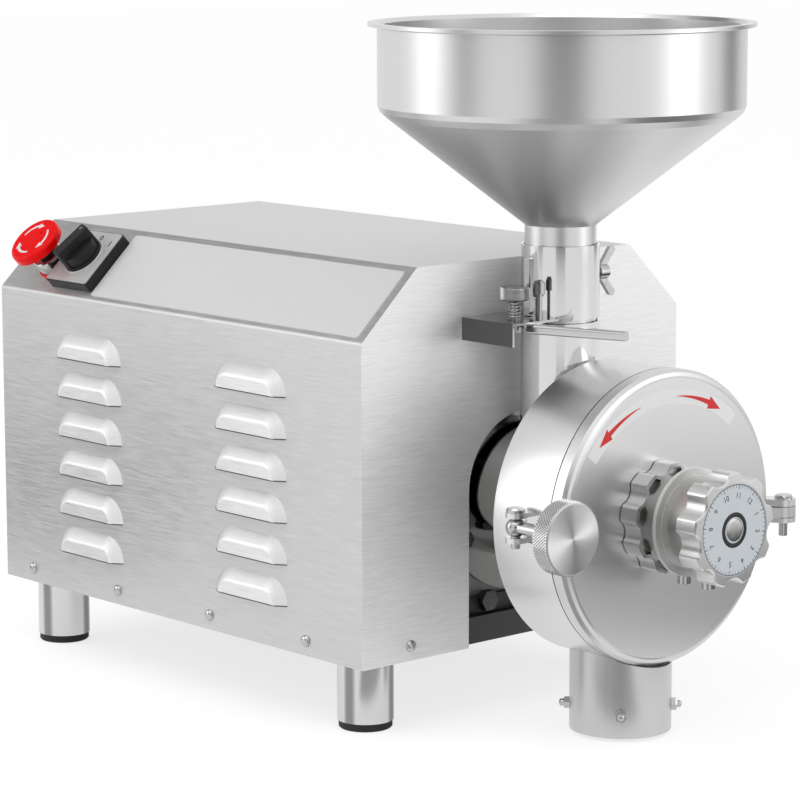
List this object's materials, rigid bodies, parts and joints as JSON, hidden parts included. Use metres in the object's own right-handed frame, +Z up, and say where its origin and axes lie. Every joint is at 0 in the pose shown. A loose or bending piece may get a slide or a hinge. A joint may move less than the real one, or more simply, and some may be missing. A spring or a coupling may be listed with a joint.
{
  "type": "electric grain mill",
  "caption": "Motor-driven grain mill: hopper on a feed tube, burr drum with a hinged cover, grind-setting dial, outlet spout and a louvred motor housing on legs.",
  "frame": {"origin": "on the floor, in the machine's centre plane, midway between the dial's face and the rear panel", "axes": "+X across the machine to the side away from the louvred control side, -Y the way the grinding drum looks, +Z up"},
  "size_m": [0.3238, 0.593, 0.462],
  "materials": {
    "brushed_stainless": "brushed",
    "polished_stainless": "fine satin polish",
    "bright_steel": "bright",
    "dark_pan": "satin black",
    "black_paint": "satin black",
    "painted_iron": "grey paint on castings",
    "burr_iron": "ground",
    "black_rubber": "matt",
    "black_plastic": "matt moulded",
    "pale_plastic": "matt moulded",
    "red_plastic": "gloss",
    "label_plate": "matt anodised, bare of text",
    "switch_face": "matt, with plain position marks",
    "dial_face": "printed scale with plain numbers"
  },
  "bodies": {
    "frame": {"housing_cover": "brushed_stainless", "rear_panel": "brushed_stainless", "base_pan": "dark_pan", "legs": "brushed_stainless", "foot_caps": "black_rubber", "leg_bolts": "bright_steel", "cover_screws": "bright_steel", "rating_plate": "label_plate", "switch_base": "black_plastic", "switch_plate": "switch_face", "estop_base": "red_plastic", "estop_collar": "bright_steel", "estop_block": "black_plastic", "overload_breaker": "black_plastic", "terminal_block": "pale_plastic", "capacitors": "pale_plastic", "cable_gland": "black_plastic", "motor_frame": "painted_iron", "front_bell": "painted_iron", "rear_bell": "painted_iron", "stator_core": "painted_iron", "motor_bearings": "bright_steel", "fan_cowl": "black_paint", "shaft_seal": "black_rubber", "motor_bracket": "black_paint", "motor_bolts": "bright_steel", "feed_chamber": "polished_stainless", "grinding_drum": "polished_stainless", "outlet_spout": "polished_stainless", "outlet_screws": "bright_steel", "feed_tube": "polished_stainless", "gate_bracket": "brushed_stainless", "gate_spring": "bright_steel", "hinge_pin": "bright_steel", "clamp_pin": "bright_steel"},
    "rotor": {"motor_shaft": "bright_steel", "rotor_core": "bright_steel", "cooling_fan": "black_plastic", "feed_auger": "brushed_stainless", "burr_carrier": "brushed_stainless", "moving_burr": "burr_iron"},
    "hopper": {"hopper": "polished_stainless"},
    "wing_bolt": {"wing_bolt": "bright_steel"},
    "gate_lever": {"gate_lever": "brushed_stainless"},
    "gate_screw": {"gate_screw": "bright_steel"},
    "switch_knob": {"switch_knob": "black_plastic"},
    "estop_stem": {"estop_stem": "black_plastic"},
    "estop_button": {"estop_button": "red_plastic"},
    "reset_button": {"reset_button": "red_plastic"},
    "cover": {"drum_cover": "polished_stainless", "bearing_sleeve": "brushed_stainless", "sleeve_screws": "bright_steel"},
    "lock_ring": {"lock_ring": "brushed_stainless"},
    "dial": {"dial_knob": "brushed_stainless", "dial_plate": "dial_face", "adjusting_spindle": "bright_steel"},
    "fixed_burr": {"fixed_burr": "burr_iron", "fixed_burr_carrier": "brushed_stainless"},
    "clamp_bolt": {"clamp_bolt": "bright_steel"},
    "clamp_knob": {"clamp_knob": "brushed_stainless"}
  },
  "joints": [
    {"name": "shaft_spin", "type": "hinge", "parent": "frame", "child": "rotor", "pos_m": [0, -0.1, 0.149], "axis": [0, 1, 0], "continuous": true},
    {"name": "cover_hinge", "type": "hinge", "parent": "frame", "child": "cover", "pos_m": [0.126, -0.224, 0.135], "axis": [0, 0, 1], "range_deg": [0, 120]},
    {"name": "clamp_bolt_swing", "type": "hinge", "parent": "frame", "child": "clamp_bolt", "pos_m": [-0.095, -0.195, 0.1488], "axis": [0, 0, -1], "range_deg": [0, 36]},
    {"name": "clamp_knob_turn", "type": "hinge", "parent": "cover", "child": "clamp_knob", "pos_m": [-0.095, -0.24, 0.1488], "axis": [0, 1, 0], "range_deg": [0, 720]},
    {"name": "lock_ring_turn", "type": "hinge", "parent": "cover", "child": "lock_ring", "pos_m": [0, -0.2365, 0.149], "axis": [0, 1, 0], "range_deg": [0, 360]},
    {"name": "dial_turn", "type": "hinge", "parent": "cover", "child": "dial", "pos_m": [0, -0.2865, 0.149], "axis": [0, 1, 0], "range_deg": [0, 360]},
    {"name": "burr_feed", "type": "slide", "parent": "cover", "child": "fixed_burr", "axis": [0, -1, 0], "range_m": [0, 0.0015]},
    {"name": "hopper_lift", "type": "slide", "parent": "frame", "child": "hopper", "axis": [0, 0, 1], "range_m": [0, 0.08]},
    {"name": "wing_bolt_turn", "type": "hinge", "parent": "frame", "child": "wing_bolt", "pos_m": [0.035, -0.1374, 0.2955], "axis": [1, 0, 0], "range_deg": [0, 360]},
    {"name": "gate_swing", "type": "hinge", "parent": "frame", "child": "gate_lever", "pos_m": [-0.04, -0.136, 0.268], "axis": [0, 0, -1], "range_deg": [0, 38]},
    {"name": "gate_screw_turn", "type": "hinge", "parent": "frame", "child": "gate_screw", "pos_m": [-0.04, -0.136, 0.28], "axis": [0, 0, 1], "range_deg": [0, 360]},
    {"name": "switch_turn", "type": "hinge", "parent": "frame", "child": "switch_knob", "pos_m": [-0.12337, 0.2135, 0.28208], "axis": [0.6863, 0, -0.7273], "range_deg": [0, 45]},
    {"name": "estop_press", "type": "slide", "parent": "frame", "child": "estop_stem", "axis": [0.6863, 0, -0.7273], "range_m": [0, 0.005], "stiffness_N_per_m": 1500},
    {"name": "estop_twist", "type": "hinge", "parent": "estop_stem", "child": "estop_button", "pos_m": [-0.12722, 0.2505, 0.27845], "axis": [0.6863, 0, -0.7273], "range_deg": [0, 30], "stiffness_Nm_per_rad": 0.3},
    {"name": "reset_press", "type": "slide", "parent": "frame", "child": "reset_button", "axis": [0, -1, 0], "range_m": [0, 0.003], "stiffness_N_per_m": 900}
  ],
  "couplings": [
    {"joint": "burr_feed", "follows": "dial_turn", "m_per_rad": 0.0002387},
    {"joint": "clamp_bolt_swing", "follows": "cover_hinge", "ratio": 0.3}
  ]
}
